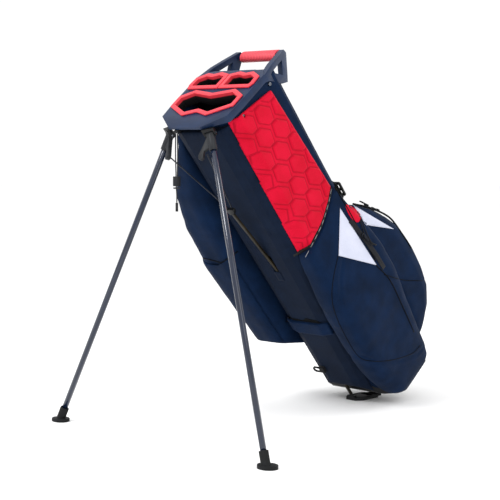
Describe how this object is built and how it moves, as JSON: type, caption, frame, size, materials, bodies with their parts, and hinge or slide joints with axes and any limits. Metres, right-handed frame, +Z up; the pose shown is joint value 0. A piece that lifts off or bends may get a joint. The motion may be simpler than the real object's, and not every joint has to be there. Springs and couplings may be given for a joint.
{
  "type": "golf stand bag",
  "caption": "Soft-sided golf stand bag leaning on two deployed legs, with a moulded divided cuff and carrying handle, side hip pad, zipped pockets and a hinged base foot.",
  "frame": {"origin": "centre of the base foot sole, on the floor", "axes": "+Z up; +X across the bag towards the hip pad; +Y from the legs and front towards the ball pocket and handle"},
  "size_m": [0.66, 0.8255, 0.8006],
  "materials": {
    "cuff_plastic": "satin slate-navy moulding",
    "red_rubber": "soft satin",
    "navy_fabric": "woven with a soft sheen",
    "dark_fabric": "smooth coated cloth",
    "red_fabric": "moulded foam pad with raised hexagons",
    "black_fabric": "webbing, tape, lining and cord",
    "black_plastic": "satin",
    "grey_plastic": "matt",
    "leg_aluminium": "navy anodised, glossy",
    "steel": "satin",
    "rod_metal": "dark bronze",
    "black_rubber": "matt"
  },
  "bodies": {
    "bag": {"apparel_pocket": "navy_fabric", "ball_pocket": "navy_fabric", "ball_zip": "black_fabric", "base_cup": "black_plastic", "cord_anchor": "black_plastic", "cord_end": "black_plastic", "cord_strand_a": "black_fabric", "cord_strand_b": "black_fabric", "cord_tail": "black_fabric", "cuff_screw_1": "steel", "cuff_screw_2": "steel", "cuff_screw_3": "steel", "cuff_screw_4": "steel", "divider_back": "black_fabric", "divider_cross": "black_fabric", "foot_pin": "steel", "front_panel": "dark_fabric", "front_sleeve": "navy_fabric", "handle_grip": "red_rubber", "hip_pad": "red_fabric", "leg_bracket_left": "grey_plastic", "leg_bracket_right": "grey_plastic", "leg_pin_left": "steel", "leg_pin_right": "steel", "main_tube": "navy_fabric", "opening_rim_front": "red_rubber", "opening_rim_left": "red_rubber", "opening_rim_right": "red_rubber", "pad_tape": "black_fabric", "side_pocket": "navy_fabric", "side_zip": "black_fabric", "sleeve_pocket": "navy_fabric", "strap_anchor_left": "black_fabric", "strap_anchor_right": "black_fabric", "strap_buckle_left": "black_plastic", "strap_buckle_right": "black_plastic", "strap_pad_left": "dark_fabric", "strap_pad_right": "dark_fabric", "strap_webbing_left": "black_fabric", "strap_webbing_right": "black_fabric", "top_cuff": "cuff_plastic", "webbing_loop": "black_fabric"},
    "leg_left": {"leg_head_left": "grey_plastic", "leg_tube_left": "leg_aluminium", "leg_foot_left": "black_rubber"},
    "leg_right": {"leg_head_right": "grey_plastic", "leg_tube_right": "leg_aluminium", "leg_foot_right": "black_rubber"},
    "actuator": {"actuator_rod": "rod_metal", "rod_junction": "grey_plastic"},
    "wire_left": {"stand_wire_left": "steel"},
    "wire_right": {"stand_wire_right": "steel"},
    "foot": {"base_foot": "black_plastic"},
    "slider_upper": {"ball_zip_slider_upper": "steel"},
    "slider_lower": {"ball_zip_slider_lower": "steel"},
    "slider_side": {"side_zip_slider": "steel"},
    "lock": {"cord_lock": "black_plastic"},
    "lock_button": {"cord_lock_button": "black_plastic"}
  },
  "joints": [
    {"name": "leg_left_swing", "type": "hinge", "parent": "bag", "child": "leg_left", "pos_m": [-0.059, -0.55915, 0.62293], "axis": [0.8841, -0.3631, -0.294], "range_deg": [0, 49]},
    {"name": "leg_right_swing", "type": "hinge", "parent": "bag", "child": "leg_right", "pos_m": [0.059, -0.55915, 0.62293], "axis": [0.8841, 0.3631, 0.294], "range_deg": [0, 49]},
    {"name": "actuator_slide", "type": "slide", "parent": "bag", "child": "actuator", "axis": [0, 0.7295, -0.684], "range_m": [0, 0.02115]},
    {"name": "wire_left_swing", "type": "hinge", "parent": "actuator", "child": "wire_left", "pos_m": [-0.006, -0.44457, 0.46634], "axis": [-0.8244, 0.5323, 0.1925], "range_deg": [0, 8.84]},
    {"name": "wire_right_swing", "type": "hinge", "parent": "actuator", "child": "wire_right", "pos_m": [0.006, -0.44457, 0.46634], "axis": [-0.8244, -0.5323, -0.1925], "range_deg": [0, 8.84]},
    {"name": "base_foot_hinge", "type": "hinge", "parent": "bag", "child": "foot", "pos_m": [0, 0.05, 0.014], "axis": [1, 0, 0], "range_deg": [0, 20]},
    {"name": "ball_zip_upper_slide", "type": "slide", "parent": "bag", "child": "slider_upper", "axis": [0, -0.9395, 0.3426], "range_m": [0, 0.005]},
    {"name": "ball_zip_lower_slide", "type": "slide", "parent": "bag", "child": "slider_lower", "axis": [0, 0.9395, -0.3426], "range_m": [0, 0.022]},
    {"name": "side_zip_slide", "type": "slide", "parent": "bag", "child": "slider_side", "axis": [0.1961, 0.6171, -0.7621], "range_m": [0, 0.045]},
    {"name": "cord_lock_slide", "type": "slide", "parent": "bag", "child": "lock", "axis": [0, 0, 1], "range_m": [0, 0.05]},
    {"name": "cord_lock_press", "type": "slide", "parent": "lock", "child": "lock_button", "axis": [0, 0, 1], "range_m": [0, 0.002], "stiffness_N_per_m": 400}
  ],
  "couplings": [
    {"joint": "leg_right_swing", "follows": "leg_left_swing", "ratio": 1},
    {"joint": "actuator_slide", "follows": "leg_left_swing", "m_per_rad": 0.024614},
    {"joint": "wire_left_swing", "follows": "leg_left_swing", "ratio": 0.17992},
    {"joint": "wire_right_swing", "follows": "leg_left_swing", "ratio": 0.17992},
    {"joint": "base_foot_hinge", "follows": "leg_left_swing", "ratio": 0.40816}
  ]
}
